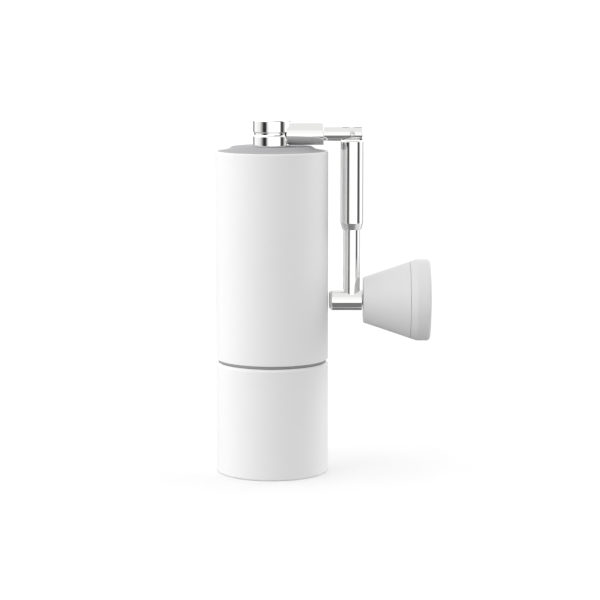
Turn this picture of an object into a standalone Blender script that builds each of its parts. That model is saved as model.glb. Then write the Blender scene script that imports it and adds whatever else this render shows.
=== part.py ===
"""Hand crank coffee grinder: cup, barrel with conical burrs, lid, and a crank that folds.

Metres, +Z up. The origin is the centre of the base that the grinder stands on, on the
axis of the barrel. The crank lies folded: its arm runs along +X and the knob hangs
beside the barrel. Pieces that touch on the real grinder are kept CLEAR apart here.
"""
import math

import bmesh
import bpy
from mathutils import Matrix, Vector

# Driving dimensions, in millimetres. Heights are above the base.
MM = 0.001
CLEAR = 0.3
BODY_R = 23.25
PAD_R = 21.4
CUP_FLOOR = 3.3
CUP_BORE = 21.4
CUP_TOP = 46.1
NECK_BOTTOM = 38.0
NECK_HEIGHT = 21.2
NECK_R = 21.2
SHELL_BOTTOM = 47.45
SHELL_TOP = 133.75
SHELL_BORE = 21.6
SHELL_MOUTH = 22.3
LINER_BORE = 19.9
LOWER_CARRIER = (59.6, 67.2)
UPPER_CARRIER = (105.7, 112.7)
BEARING_R = 6.5
BEARING_HEIGHT = 5.0
BEARING_SINK = 1.6
BALLS = 7
BURR_SEAT_R = 17.75
BURR_SEAT_DEPTH = 14.0
BURR_HEIGHT = 15.0
OUTER_TEETH = 16
INNER_TEETH = 12
SCREW_CIRCLE_R = 19.35
SHAFT_R = 3.0
SHAFT_BOTTOM = 26.2
SHAFT_TOP = 141.8
HEX_BURR = 2.8
HEX_CRANK = 2.5
HEX_PLAY = 0.35
DIAL_BOTTOM = 29.2
DIAL_HEIGHT = 7.2
DIAL_R = 10.5
KNURLS = 16
CLICKS = 12
CLICK_R = 6.4
LID_R = 22.0
PLATEAU = 135.4
HUB_R = 7.65
HUB_TOP = 146.4
ARM_Z = 140.7
ARM_R = 4.62
ARM_END = 21.3
FORK_R = 2.9
FORK_START = 12.0
FORK_END = 37.4
FORK_SLOT = 2.7
PIVOT_X = 33.0
PIN_R = 1.0
TONGUE_R = 2.5
TONGUE_HALF = 1.05
SHOULDER = 5.3
LOWER_ARM_R = 3.43
SLEEVE_R = 4.65
SLEEVE_BORE = 3.7
SLEEVE_TOP = 3.05
SLEEVE_CONE = 36.7
SLEEVE_END = 39.5
KNOB_Z = 71.8
SPINDLE_R = 4.3
SPINDLE_START = 23.65
SPINDLE_END = 37.3
AXLE_R = 2.2
KNOB_START = 37.8
KNOB_SMALL_R = 9.4
KNOB_SPLIT = 57.1
KNOB_CONE_END = 59.9
KNOB_BIG_R = 16.9
KNOB_END = 65.8
KNOB_BORE = 4.1

SIDES_BIG = 32
SIDES_MID = 24
SIDES_SMALL = 12
SIDES_TINY = 8
SMOOTH_ANGLE = math.radians(32)

for old in list(bpy.data.objects):
    bpy.data.objects.remove(old, do_unlink=True)


# ---- finishes -------------------------------------------------------------------
def finish(name, colour, roughness, metallic):
    material = bpy.data.materials.new(name)
    material.use_nodes = True
    shader = material.node_tree.nodes["Principled BSDF"]
    shader.inputs["Base Color"].default_value = (*colour, 1.0)
    shader.inputs["Roughness"].default_value = roughness
    shader.inputs["Metallic"].default_value = metallic
    material.diffuse_color = (*colour, 1.0)
    return material


WHITE_COAT = finish("white_powder_coat", (0.86, 0.86, 0.86), 0.55, 0.0)
WHITE_PLASTIC = finish("white_plastic", (0.82, 0.82, 0.82), 0.6, 0.0)
LID_PLASTIC = finish("lid_plastic", (0.52, 0.52, 0.53), 0.5, 0.0)
DIAL_PLASTIC = finish("dial_plastic", (0.4, 0.4, 0.41), 0.5, 0.0)
INNER_PLASTIC = finish("inner_plastic", (0.62, 0.62, 0.63), 0.5, 0.0)
CHROME = finish("chrome", (0.85, 0.85, 0.85), 0.08, 1.0)
STEEL = finish("steel", (0.6, 0.6, 0.6), 0.3, 1.0)
BURR_STEEL = finish("burr_steel", (0.45, 0.45, 0.46), 0.35, 1.0)
SILICONE = finish("silicone", (0.3, 0.3, 0.31), 0.7, 0.0)
BUSH_PLASTIC = finish("bush_plastic", (0.75, 0.72, 0.65), 0.45, 0.0)


# ---- frames that moving pieces turn or slide about --------------------------------
def joint_frame(name, x, z, parent=None):
    """An empty on a joint's axis, which the pieces of one moving body hang from."""
    frame = bpy.data.objects.new(name, None)
    frame.empty_display_size = 0.01
    bpy.context.scene.collection.objects.link(frame)
    frame.location = Vector((x, 0, z)) * MM
    if parent:
        frame.parent = parent
        frame.location -= parent.matrix_world.translation
    bpy.context.view_layer.update()
    return frame


CUP = joint_frame("cup_frame", 0, 0)
BARREL = joint_frame("barrel_frame", 0, SHELL_BOTTOM, CUP)
DRIVE = joint_frame("drive_frame", 0, LOWER_CARRIER[0], BARREL)
BURR = joint_frame("burr_frame", 0, NECK_BOTTOM, DRIVE)
DIAL = joint_frame("dial_frame", 0, DIAL_BOTTOM, BURR)
LID = joint_frame("lid_frame", 0, SHELL_TOP, BARREL)
CRANK = joint_frame("crank_frame", 0, ARM_Z, LID)
LOWER_ARM = joint_frame("lower_arm_frame", PIVOT_X, ARM_Z, CRANK)
SLEEVE = joint_frame("sleeve_frame", PIVOT_X, ARM_Z - SLEEVE_TOP, LOWER_ARM)
KNOB = joint_frame("knob_frame", KNOB_START, KNOB_Z, LOWER_ARM)

# Turns that bring a shape made about the Z axis to where it lies on the crank.
ALONG_ARM = Matrix.Translation((0, 0, ARM_Z * MM)) @ Matrix.Rotation(math.pi / 2, 4, "Y")
ALONG_KNOB = Matrix.Translation((0, 0, KNOB_Z * MM)) @ Matrix.Rotation(math.pi / 2, 4, "Y")
AT_PIVOT = Matrix.Translation((PIVOT_X * MM, 0, ARM_Z * MM))
DOWN_ARM = AT_PIVOT @ Matrix.Rotation(math.pi, 4, "X")
ACROSS_PIVOT = AT_PIVOT @ Matrix.Rotation(math.pi / 2, 4, "X")


# ---- shaping tools ----------------------------------------------------------------
def place(bm, name, material=None, frame=None, turn=None):
    """Close the shape, move it to its frame and make it a named object."""
    bmesh.ops.remove_doubles(bm, verts=bm.verts, dist=1e-7)
    bmesh.ops.recalc_face_normals(bm, faces=bm.faces)
    if turn is not None:
        bm.transform(turn)
    if frame is not None:
        bm.transform(Matrix.Translation(-frame.matrix_world.translation))
    mesh = bpy.data.meshes.new(name)
    bm.to_mesh(mesh)
    bm.free()
    mesh.shade_smooth()
    mesh.set_sharp_from_angle(angle=SMOOTH_ANGLE)
    if material is not None:
        mesh.materials.append(material)
    piece = bpy.data.objects.new(name, mesh)
    piece.parent = frame
    bpy.context.scene.collection.objects.link(piece)
    return piece


def turned(name, outline, material, frame, sides=SIDES_MID, turn=None):
    """A turned piece. The outline is (radius, height) points; ends on the axis close it."""
    bm = bmesh.new()
    points = [bm.verts.new((r * MM, 0, h * MM)) for r, h in outline]
    edges = [bm.edges.new(pair) for pair in zip(points, points[1:])]
    if outline[0][0] > 0:
        edges.append(bm.edges.new((points[-1], points[0])))
    bmesh.ops.spin(bm, geom=points + edges, cent=(0, 0, 0), axis=(0, 0, 1),
                   angle=2 * math.pi, steps=sides, use_merge=True)
    return place(bm, name, material, frame, turn)


def washer(name, inner, outer, low, high, material, frame, sides=SIDES_MID, turn=None):
    outline = [(inner, low), (outer, low), (outer, high), (inner, high)]
    return turned(name, outline, material, frame, sides, turn)


def ring_of(radius, z, sides, twist=0.0):
    """Points of one loop. The radius is a number, or a function of the angle."""
    loop = []
    for i in range(sides):
        angle = 2 * math.pi * i / sides
        r = radius(angle) if callable(radius) else radius
        loop.append((r * math.cos(angle + twist), r * math.sin(angle + twist), z))
    return loop


def lofted(name, loops, material=None, frame=None, hollow=False):
    """Skin a stack of loops. A hollow one joins its last loop back to its first."""
    bm = bmesh.new()
    rows = [[bm.verts.new(Vector(point) * MM) for point in loop] for loop in loops]
    count = len(rows[0])
    pairs = list(zip(rows, rows[1:]))
    if hollow:
        pairs.append((rows[-1], rows[0]))
    else:
        bm.faces.new(rows[0])
        bm.faces.new(rows[-1])
    for low, high in pairs:
        for i in range(count):
            j = (i + 1) % count
            bm.faces.new((low[i], low[j], high[j], high[i]))
    return place(bm, name, material, frame)


def hexagon(half_flats):
    """Radius of a hexagon by angle, from half its width across the flats."""
    def radius(angle):
        off_flat = (angle + math.pi / 6) % (math.pi / 3) - math.pi / 6
        return half_flats / math.cos(off_flat)
    return radius


def lobes(crest, depth, count):
    """Radius of a toothed or knurled rim: it falls by depth between its crests."""
    def radius(angle):
        return crest - depth * (0.5 - 0.5 * math.cos(count * angle))
    return radius


def cut(piece, cutter):
    cutter.hide_render = True
    cutter.display_type = "WIRE"
    boolean = piece.modifiers.new("cut_" + cutter.name, "BOOLEAN")
    boolean.operation = "DIFFERENCE"
    boolean.object = cutter
    boolean.solver = "EXACT"


def rods(name, centres, radius, low, high, sides=SIDES_TINY, turn=None):
    """Separate upright rods in one cutter, one at each (x, y)."""
    bm = bmesh.new()
    for x, y in centres:
        move = Matrix.Translation((x * MM, y * MM, (low + high) / 2 * MM))
        bmesh.ops.create_cone(bm, cap_ends=True, segments=sides, radius1=radius * MM,
                              radius2=radius * MM, depth=(high - low) * MM, matrix=move)
    return place(bm, name, turn=turn)


def block(name, low, high):
    """A plain block between two corners."""
    bm = bmesh.new()
    size = Vector(high) - Vector(low)
    middle = (Vector(high) + Vector(low)) / 2
    bmesh.ops.create_cube(bm, size=1.0)
    bm.transform(Matrix.Translation(middle * MM) @ Matrix.Diagonal((*(size * MM), 1.0)))
    return place(bm, name)


def around(count, radius, start=0.0):
    """Evenly spaced (x, y) places on a circle."""
    step = 2 * math.pi / count
    return [(radius * math.cos(start + step * i), radius * math.sin(start + step * i))
            for i in range(count)]


def coil(name, radius, wire, low, high, turns, centre, frame, per_turn):
    """A steel wire spring with capped ends, between two heights."""
    curve = bpy.data.curves.new(name, "CURVE")
    curve.dimensions = "3D"
    curve.bevel_depth = wire * MM
    curve.bevel_resolution = 0
    curve.use_fill_caps = True
    steps = turns * per_turn
    spline = curve.splines.new("POLY")
    spline.points.add(steps)
    base = Vector((*centre, 0)) * MM - frame.matrix_world.translation
    for i, point in enumerate(spline.points):
        angle = 2 * math.pi * i / per_turn
        height = low + wire + (high - low - 2 * wire) * i / steps
        spot = Vector((radius * math.cos(angle), radius * math.sin(angle), height)) * MM + base
        point.co = (*spot, 1.0)
    curve.materials.append(STEEL)
    piece = bpy.data.objects.new(name, curve)
    piece.parent = frame
    bpy.context.scene.collection.objects.link(piece)
    return piece


THREAD_PITCH = 2.4
CREST_HALF = 0.7
CREST_LOW_R = 21.3
CREST_HIGH_R = 21.65
CUP_THREAD_ROOT = 22.0
NECK_THREAD_ROOT = 20.9


def crests(root, crest, first, count, side=1):
    """Rings that stand for thread crests, from the first height up, or down with side -1."""
    outline = []
    for i in range(count):
        z = first + THREAD_PITCH * i * side
        outline += [(root, z), (crest, z + CREST_HALF * side), (root, z + 2 * CREST_HALF * side)]
    return outline


# ---- grounds cup: a turned cup with a soft pad under it ----------------------------
PAD_TOP = 1.4
SOLE = 0.5
turned("base_pad", [(0, 0), (PAD_R - 0.5, 0), (PAD_R, 0.4), (PAD_R, PAD_TOP), (0, PAD_TOP)],
       SILICONE, CUP, SIDES_BIG)

thread_end = NECK_BOTTOM - 2.2
recess_r = PAD_R + CLEAR + 0.05
cup_outline = [(0, PAD_TOP + CLEAR), (recess_r, PAD_TOP + CLEAR), (recess_r, SOLE), (22.5, SOLE),
               (23.05, SOLE + 0.3), (BODY_R, SOLE + 0.9), (BODY_R, CUP_TOP - 0.9), (22.6, CUP_TOP),
               (CUP_THREAD_ROOT, CUP_TOP)]
cup_outline += crests(CUP_THREAD_ROOT, CREST_HIGH_R, CUP_TOP - 1, 2, -1)
cup_outline += [(CUP_THREAD_ROOT, thread_end), (CUP_BORE, thread_end - 0.8), (CUP_BORE, CUP_FLOOR + 2.7),
                (CUP_BORE - 0.8, CUP_FLOOR + 0.9), (CUP_BORE - 2.6, CUP_FLOOR), (0, CUP_FLOOR)]
turned("grounds_cup", cup_outline, WHITE_COAT, CUP, SIDES_BIG)

# ---- threaded neck: holds the outer burr and screws into the cup --------------------
THROAT_R = 14.6
FUNNEL_R = 19.2
NECK_TOP = NECK_BOTTOM + NECK_HEIGHT
BURR_SEAT_TOP = NECK_BOTTOM + BURR_SEAT_DEPTH
neck_outline = [(BURR_SEAT_R, NECK_BOTTOM), (NECK_THREAD_ROOT - 0.3, NECK_BOTTOM),
                (NECK_THREAD_ROOT, NECK_BOTTOM + CLEAR)]
neck_outline += crests(NECK_THREAD_ROOT, CREST_LOW_R, NECK_BOTTOM + 2.1, 2)
neck_outline += [(NECK_THREAD_ROOT, CUP_TOP), (NECK_R, SHELL_BOTTOM), (NECK_R, NECK_TOP),
                 (FUNNEL_R, NECK_TOP), (THROAT_R, BURR_SEAT_TOP + 2.2), (THROAT_R, BURR_SEAT_TOP),
                 (BURR_SEAT_R, BURR_SEAT_TOP)]
neck = turned("threaded_neck", neck_outline, INNER_PLASTIC, BARREL, SIDES_BIG)
SCREW_HOLE_R = 1.15
SCREW_HOLE_TOP = NECK_BOTTOM + 6.7
SCREW_SPOTS = around(3, SCREW_CIRCLE_R, math.pi / 2)
cut(neck, rods("neck_holes", SCREW_SPOTS, SCREW_HOLE_R, NECK_BOTTOM - 1, SCREW_HOLE_TOP))

seal_low = CUP_TOP + CLEAR
seal_high = SHELL_BOTTOM - CLEAR
seal_middle = (seal_low + seal_high) / 2
turned("neck_seal", [(SHELL_BORE, seal_low), (22.3, seal_low), (22.5, seal_middle), (22.3, seal_high),
                     (SHELL_BORE, seal_high)], SILICONE, BARREL, SIDES_BIG)

# ---- outer burr, its clamp ring and three screws ------------------------------------
OUTER_BURR_R = BURR_SEAT_R - CLEAR - 0.05
OUTER_BURR_LOW = NECK_BOTTOM + 0.1
OUTER_BURR_HIGH = BURR_SEAT_TOP - CLEAR
OUTER_BORES = (15.6, 10.0)
OUTER_TOOTH_DEPTH = -0.7
OUTER_TWIST = -0.5


def toothed_cone(radii, low, high, depth, teeth, sides, levels, twist):
    """Loops of a cone between two radii, with teeth that lean by the twist."""
    loops = []
    for i in range(levels):
        t = i / (levels - 1)
        radius = radii[0] + (radii[1] - radii[0]) * t
        loops.append(ring_of(lobes(radius, depth, teeth), low + (high - low) * t, sides, twist * t))
    return loops


outer_sides = 2 * OUTER_TEETH
outer_loops = toothed_cone(OUTER_BORES, OUTER_BURR_LOW, OUTER_BURR_HIGH, OUTER_TOOTH_DEPTH, OUTER_TEETH,
                           outer_sides, 4, OUTER_TWIST)
outer_loops.append(ring_of(OUTER_BURR_R, OUTER_BURR_HIGH, outer_sides))
outer_loops.append(ring_of(OUTER_BURR_R, OUTER_BURR_LOW, outer_sides))
lofted("outer_burr", outer_loops, BURR_STEEL, BARREL, hollow=True)

CLAMP_TOP = NECK_BOTTOM - CLEAR
CLAMP_BOTTOM = CLAMP_TOP - 1.1
CLAMP_R = (16.0, 20.6)
clamp = washer("burr_clamp_ring", *CLAMP_R, CLAMP_BOTTOM, CLAMP_TOP, STEEL, BARREL, SIDES_BIG)
cut(clamp, rods("clamp_holes", SCREW_SPOTS, SCREW_HOLE_R, CLAMP_BOTTOM - 1, CLAMP_TOP + 1))

HEAD_R = 1.6
HEAD_SOCKET_R = 0.7
SHANK_R = 0.85
HEAD_TOP = CLAMP_BOTTOM - CLEAR
HEAD_BOTTOM = HEAD_TOP - 1.1
SHANK_END = HEAD_TOP + 7.0
screw_outline = [(0, HEAD_BOTTOM + 0.6), (HEAD_SOCKET_R, HEAD_BOTTOM + 0.6), (HEAD_SOCKET_R, HEAD_BOTTOM),
                 (HEAD_R - 0.3, HEAD_BOTTOM), (HEAD_R, HEAD_BOTTOM + 0.3), (HEAD_R, HEAD_TOP),
                 (SHANK_R, HEAD_TOP), (SHANK_R, SHANK_END - 0.3), (SHANK_R - 0.25, SHANK_END), (0, SHANK_END)]
for number, (x, y) in enumerate(SCREW_SPOTS, 1):
    at_screw = Matrix.Translation((x * MM, y * MM, 0))
    turned("burr_screw_%d" % number, screw_outline, STEEL, BARREL, SIDES_TINY, at_screw)

# ---- outer shell, hopper liners and bearing carriers --------------------------------
LIP_TOP = SHELL_TOP - 3.8
shell_outline = [(SHELL_BORE, SHELL_BOTTOM), (BODY_R - 0.3, SHELL_BOTTOM), (BODY_R, SHELL_BOTTOM + 0.3),
                 (BODY_R, SHELL_TOP - 0.55), (BODY_R - 0.15, SHELL_TOP - 0.15), (BODY_R - 0.5, SHELL_TOP),
                 (SHELL_MOUTH + 0.2, SHELL_TOP), (SHELL_MOUTH, SHELL_TOP - 0.2), (SHELL_MOUTH, LIP_TOP),
                 (SHELL_BORE, LIP_TOP - 0.3)]
turned("outer_shell", shell_outline, WHITE_COAT, BARREL, SIDES_BIG)

LINER_TOP = LIP_TOP - 0.6
washer("lower_liner", LINER_BORE, NECK_R, LOWER_CARRIER[1] + CLEAR, UPPER_CARRIER[0] - CLEAR,
       INNER_PLASTIC, BARREL, SIDES_BIG)
washer("upper_liner", LINER_BORE, NECK_R, UPPER_CARRIER[1] + CLEAR, LINER_TOP,
       INNER_PLASTIC, BARREL, SIDES_BIG)

CARRIER_HUB_R = 9.0
CARRIER_RIM_R = 18.8
CARRIER_LIP_R = 5.4
CARRIER_ARM_HALF = 1.7
WINDOW_STEPS = 4


def carrier(name, low, high):
    """Rim, three arms and a bearing pocket, cut from one disc by three windows."""
    pocket_r = BEARING_R + CLEAR + 0.05
    pocket_floor = low + BEARING_SINK - CLEAR
    outline = [(CARRIER_LIP_R, low), (NECK_R, low), (NECK_R, high), (pocket_r, high),
               (pocket_r, pocket_floor), (CARRIER_LIP_R, pocket_floor)]
    disc = turned(name, outline, INNER_PLASTIC, BARREL, SIDES_BIG)
    bm = bmesh.new()
    for k in range(3):
        middle = math.pi / 6 + k * 2 * math.pi / 3
        walls = []
        for radius in (CARRIER_HUB_R, CARRIER_RIM_R):
            half = math.pi / 3 - math.asin(CARRIER_ARM_HALF / radius)
            angles = [middle - half + 2 * half * i / WINDOW_STEPS for i in range(WINDOW_STEPS + 1)]
            walls.append([(radius * math.cos(a), radius * math.sin(a)) for a in angles])
        corners = walls[0] + walls[1][::-1]
        base = bm.faces.new([bm.verts.new((x * MM, y * MM, (low - 2) * MM)) for x, y in corners])
        raised = bmesh.ops.extrude_face_region(bm, geom=[base])["geom"]
        lift = Vector((0, 0, (high - low + 4) * MM))
        bmesh.ops.translate(bm, vec=lift, verts=[v for v in raised if isinstance(v, bmesh.types.BMVert)])
    cut(disc, place(bm, name + "_windows"))


# ---- ball bearings: an outer race, a caged ring of balls and an inner race ----------
RACE_BORE = SHAFT_R + CLEAR
CAGE_BORE = 4.65
CAGE_HALF = 0.8


def bearing(name, low):
    """One bearing; its inner race turns with the shaft."""
    middle = low + BEARING_HEIGHT / 2
    washer(name + "_outer_race", 5.8, BEARING_R, low, low + BEARING_HEIGHT, STEEL, BARREL)
    washer(name + "_inner_race", RACE_BORE, 4.3, low, low + BEARING_HEIGHT, STEEL, DRIVE)
    rim = lobes(5.4, 0.3, BALLS)
    levels = [(CAGE_BORE, -CAGE_HALF), (rim, -CAGE_HALF), (rim, CAGE_HALF), (CAGE_BORE, CAGE_HALF)]
    loops = [ring_of(radius, middle + z, 3 * BALLS) for radius, z in levels]
    lofted(name + "_balls", loops, STEEL, BARREL, hollow=True)


for which, (low, high) in (("lower", LOWER_CARRIER), ("upper", UPPER_CARRIER)):
    carrier(which + "_carrier", low, high)
    bearing(which + "_bearing", low + BEARING_SINK)

# ---- drive shaft: hexagon for the crank at the top, hexagon for the burr below -------
COLLAR_R = 4.1
WAIST_R = 3.6
collar_low = LOWER_CARRIER[0] + BEARING_SINK + BEARING_HEIGHT + CLEAR
collar_high = UPPER_CARRIER[0] + BEARING_SINK - CLEAR
hex_low = NECK_BOTTOM - 1.3
hex_high = NECK_BOTTOM + BURR_HEIGHT + 5.7
crank_hex = SHELL_TOP - 3.5
shaft_levels = [(SHAFT_R - 0.4, SHAFT_BOTTOM), (SHAFT_R, SHAFT_BOTTOM + 0.4), (SHAFT_R, hex_low - 0.4),
                (hexagon(HEX_BURR), hex_low), (hexagon(HEX_BURR), hex_high), (SHAFT_R, hex_high + 0.4),
                (SHAFT_R, collar_low), (COLLAR_R, collar_low), (COLLAR_R, collar_low + 2),
                (WAIST_R, collar_low + 2.5), (WAIST_R, collar_high - 1), (COLLAR_R, collar_high - 0.5),
                (COLLAR_R, collar_high), (SHAFT_R, collar_high), (SHAFT_R, crank_hex - 0.6),
                (hexagon(HEX_CRANK), crank_hex), (hexagon(HEX_CRANK), SHAFT_TOP - 0.5),
                (hexagon(HEX_CRANK - 0.4), SHAFT_TOP)]
lofted("drive_shaft", [ring_of(r, z, SIDES_SMALL) for r, z in shaft_levels], STEEL, DRIVE)

CLIP_BORE = SHAFT_R + CLEAR + 0.05
clip_low = UPPER_CARRIER[1] - 0.2
washer("shaft_clip", CLIP_BORE, 4.6, clip_low, clip_low + 0.8, STEEL, DRIVE, SIDES_SMALL)
washer("shaft_end_ring", CLIP_BORE, 4.4, SHAFT_BOTTOM + 0.7, SHAFT_BOTTOM + 1.5, STEEL, DRIVE, SIDES_SMALL)
spring_seat = LOWER_CARRIER[0] + 0.1
washer("spring_washer", CLIP_BORE, 5.1, spring_seat, spring_seat + 0.5, STEEL, DRIVE, SIDES_SMALL)
BURR_LOW = NECK_BOTTOM + 0.7
BURR_HIGH = BURR_LOW + BURR_HEIGHT
coil("burr_spring", 4.7, 0.4, BURR_HIGH + 0.4, spring_seat - CLEAR, 4, (0, 0), DRIVE, 12)

# ---- inner burr and detent plate, keyed to the shaft's hexagon ------------------------
INNER_RADII = (13.9, 7.4)
INNER_TOOTH_DEPTH = 0.9
INNER_TWIST = 0.9
KEY = hexagon(HEX_BURR + HEX_PLAY)
inner_sides = 3 * INNER_TEETH
inner_loops = toothed_cone(INNER_RADII, BURR_LOW, BURR_HIGH, INNER_TOOTH_DEPTH, INNER_TEETH, inner_sides, 5,
                           INNER_TWIST)
inner_loops.append(ring_of(KEY, BURR_HIGH, inner_sides))
inner_loops.append(ring_of(KEY, BURR_LOW, inner_sides))
lofted("inner_burr", inner_loops, BURR_STEEL, BURR, hollow=True)

PLATE_R = 8.6
PLATE_HOLE_R = 0.75
DIAL_TOP = DIAL_BOTTOM + DIAL_HEIGHT
plate_low = DIAL_TOP + CLEAR
plate_high = BURR_LOW - CLEAR
plate_levels = [(PLATE_R, plate_low), (PLATE_R, plate_high), (KEY, plate_high), (KEY, plate_low)]
plate = lofted("detent_plate", [ring_of(r, z, SIDES_MID) for r, z in plate_levels], STEEL, BURR, hollow=True)
cut(plate, rods("plate_holes", around(CLICKS, CLICK_R), PLATE_HOLE_R, plate_low - 1, plate_high + 1, 6))

# ---- adjusting dial with two sprung click balls ---------------------------------------
DIAL_BORE = SHAFT_R + 0.4
POCKET_R = 1.15
POCKET_FLOOR = DIAL_BOTTOM + 1.4
BALL_R = 0.8
BALL_Z = DIAL_TOP - 1.0
knurled = lobes(DIAL_R, 0.9, KNURLS)
dial_levels = [(DIAL_R - 0.9, DIAL_BOTTOM), (knurled, DIAL_BOTTOM + 0.7), (knurled, DIAL_TOP - 1.3),
               (DIAL_R - 1.2, DIAL_TOP), (DIAL_BORE, DIAL_TOP), (DIAL_BORE, DIAL_BOTTOM)]
dial = lofted("adjusting_dial", [ring_of(r, z, 3 * KNURLS) for r, z in dial_levels], DIAL_PLASTIC, DIAL,
              hollow=True)
CLICK_SPOTS = around(2, CLICK_R)
cut(dial, rods("dial_pockets", CLICK_SPOTS, POCKET_R, POCKET_FLOOR, DIAL_TOP + 1))
for number, (x, y) in enumerate(CLICK_SPOTS, 1):
    ball = bmesh.new()
    spot = Matrix.Translation((x * MM, y * MM, BALL_Z * MM))
    bmesh.ops.create_icosphere(ball, subdivisions=2, radius=BALL_R * MM, matrix=spot)
    place(ball, "click_ball_%d" % number, STEEL, DIAL)
    coil("click_spring_%d" % number, 0.6, 0.16, POCKET_FLOOR + 0.4, BALL_Z - BALL_R - 0.4, 3, (x, y), DIAL, 6)

# ---- lid: a shallow cap that drops inside the shell's mouth ----------------------------
LID_BORE = 5.4
LID_FOOT = SHELL_TOP - 3.5
SKIRT_R = 19.2
SKIRT_BORE = 17.0
SKIRT_END = SHELL_TOP - 7.9
SEAL_GROOVE_R = 18.4
lid_outline = [(LID_BORE, PLATEAU - 2.1), (SKIRT_BORE - 1.2, PLATEAU - 2.1), (SKIRT_BORE, PLATEAU - 3),
               (SKIRT_BORE, SKIRT_END), (SKIRT_R, SKIRT_END), (SKIRT_R, SKIRT_END + 1.5),
               (SEAL_GROOVE_R, SKIRT_END + 1.6), (SEAL_GROOVE_R, SKIRT_END + 3.2), (SKIRT_R, SKIRT_END + 3.3),
               (SKIRT_R, LID_FOOT), (LID_R, LID_FOOT), (LID_R, SHELL_TOP - 0.5),
               (LID_R - 0.2, SHELL_TOP - 0.2), (18.0, PLATEAU - 1), (17.6, PLATEAU - 0.8),
               (16.7, PLATEAU - 0.2), (16.3, PLATEAU), (LID_BORE, PLATEAU)]
turned("lid", lid_outline, LID_PLASTIC, LID, SIDES_BIG)
washer("lid_seal", SEAL_GROOVE_R + 0.32, SKIRT_R + 0.35, SKIRT_END + 1.9, SKIRT_END + 2.9, SILICONE, LID,
       SIDES_BIG)

# ---- crank: hub, arm tube and fork, with the elbow pin ---------------------------------
SPIGOT_R = 5.0
SPIGOT_END = PLATEAU - 4.4
HUB_BOTTOM = PLATEAU + CLEAR
GROOVE_DEPTH = 0.4
hub_levels = [(SPIGOT_R, SPIGOT_END), (SPIGOT_R, HUB_BOTTOM), (HUB_R, HUB_BOTTOM), (HUB_R, ARM_Z - 1.1),
              (HUB_R - GROOVE_DEPTH, ARM_Z - 0.5), (HUB_R - GROOVE_DEPTH, ARM_Z + 0.5), (HUB_R, ARM_Z + 1.1),
              (HUB_R, HUB_TOP - 0.5), (HUB_R - 0.5, HUB_TOP)]
hub = lofted("crank_hub", [ring_of(r, z, SIDES_BIG) for r, z in hub_levels], CHROME, CRANK)
SOCKET = hexagon(HEX_CRANK + HEX_PLAY)
cut(hub, lofted("hub_socket", [ring_of(SOCKET, SPIGOT_END - 1, SIDES_SMALL),
                               ring_of(SOCKET, SHAFT_TOP + 0.4, SIDES_SMALL)]))
washer("hub_clip", SPIGOT_R + CLEAR, 7.0, SPIGOT_END + 0.8, SPIGOT_END + 1.7, STEEL, CRANK)

ARM_BORE = FORK_R + CLEAR + 0.05
arm = turned("arm_tube", [(ARM_BORE, 2), (ARM_R, 2), (ARM_R, ARM_END - 0.25), (ARM_R - 0.25, ARM_END),
                          (ARM_BORE, ARM_END)], CHROME, CRANK, SIDES_MID, ALONG_ARM)
cut(arm, rods("hub_clearance", [(0, 0)], HUB_R + CLEAR, ARM_Z - 8, ARM_Z + 8, SIDES_BIG))

fork = turned("arm_fork", [(0, FORK_START), (FORK_R, FORK_START), (FORK_R, FORK_END - 0.4),
                           (FORK_R - 0.12, FORK_END - 0.12), (FORK_R - 0.4, FORK_END), (0, FORK_END)],
              CHROME, CRANK, SIDES_MID, ALONG_ARM)
half_slot = FORK_SLOT / 2
slot_end = PIVOT_X - TONGUE_R - 1.5
PIN_HOLE_R = PIN_R + 0.35
PIN_HALF = 2.4
cut(fork, block("fork_slot", (slot_end, -half_slot, ARM_Z - 5), (FORK_END + 2, half_slot, ARM_Z + 5)))
cut(fork, rods("fork_pin_hole", [(0, 0)], PIN_HOLE_R, -5, 5, 2 * SIDES_TINY, ACROSS_PIVOT))
turned("elbow_pin", [(0, -PIN_HALF), (PIN_R, -PIN_HALF), (PIN_R, PIN_HALF), (0, PIN_HALF)], STEEL, CRANK,
       SIDES_TINY, ACROSS_PIVOT)

# ---- lower arm: tongue, rod and the cross tube that carries the knob --------------------
arm_drop = ARM_Z - KNOB_Z
rod = turned("lower_arm", [(0, -TONGUE_R), (LOWER_ARM_R, -TONGUE_R), (LOWER_ARM_R, arm_drop), (0, arm_drop)],
             CHROME, LOWER_ARM, SIDES_MID, DOWN_ARM)
for side, word in ((-1, "front"), (1, "back")):
    flat = side * TONGUE_HALF
    far = side * (LOWER_ARM_R + 2)
    low_corner = (PIVOT_X - 6, min(flat, far), ARM_Z - SHOULDER)
    high_corner = (PIVOT_X + 6, max(flat, far), ARM_Z + 6)
    cut(rod, block("tongue_side_" + word, low_corner, high_corner))

# The eye at the top of the tongue is what an arched cutter leaves.
EYE_STEPS = 12
ARCH_REACH = 9
arch = [(TONGUE_R * math.cos(math.pi * i / EYE_STEPS), TONGUE_R * math.sin(math.pi * i / EYE_STEPS))
        for i in range(EYE_STEPS + 1)]
arch += [(-TONGUE_R, -SHOULDER), (-ARCH_REACH, -SHOULDER), (-ARCH_REACH, ARCH_REACH),
         (ARCH_REACH, ARCH_REACH), (ARCH_REACH, -SHOULDER), (TONGUE_R, -SHOULDER)]
arch_loops = [[(PIVOT_X + x, y, ARM_Z + z) for x, z in arch] for y in (-2, 2)]
cut(rod, lofted("tongue_arch", arch_loops))
cut(rod, rods("tongue_hole", [(0, 0)], PIN_HOLE_R, -3, 3, 2 * SIDES_TINY, ACROSS_PIVOT))
cut(rod, rods("spindle_clearance", [(0, 0)], SPINDLE_R + CLEAR, 20, 45, SIDES_MID, ALONG_KNOB))

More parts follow.
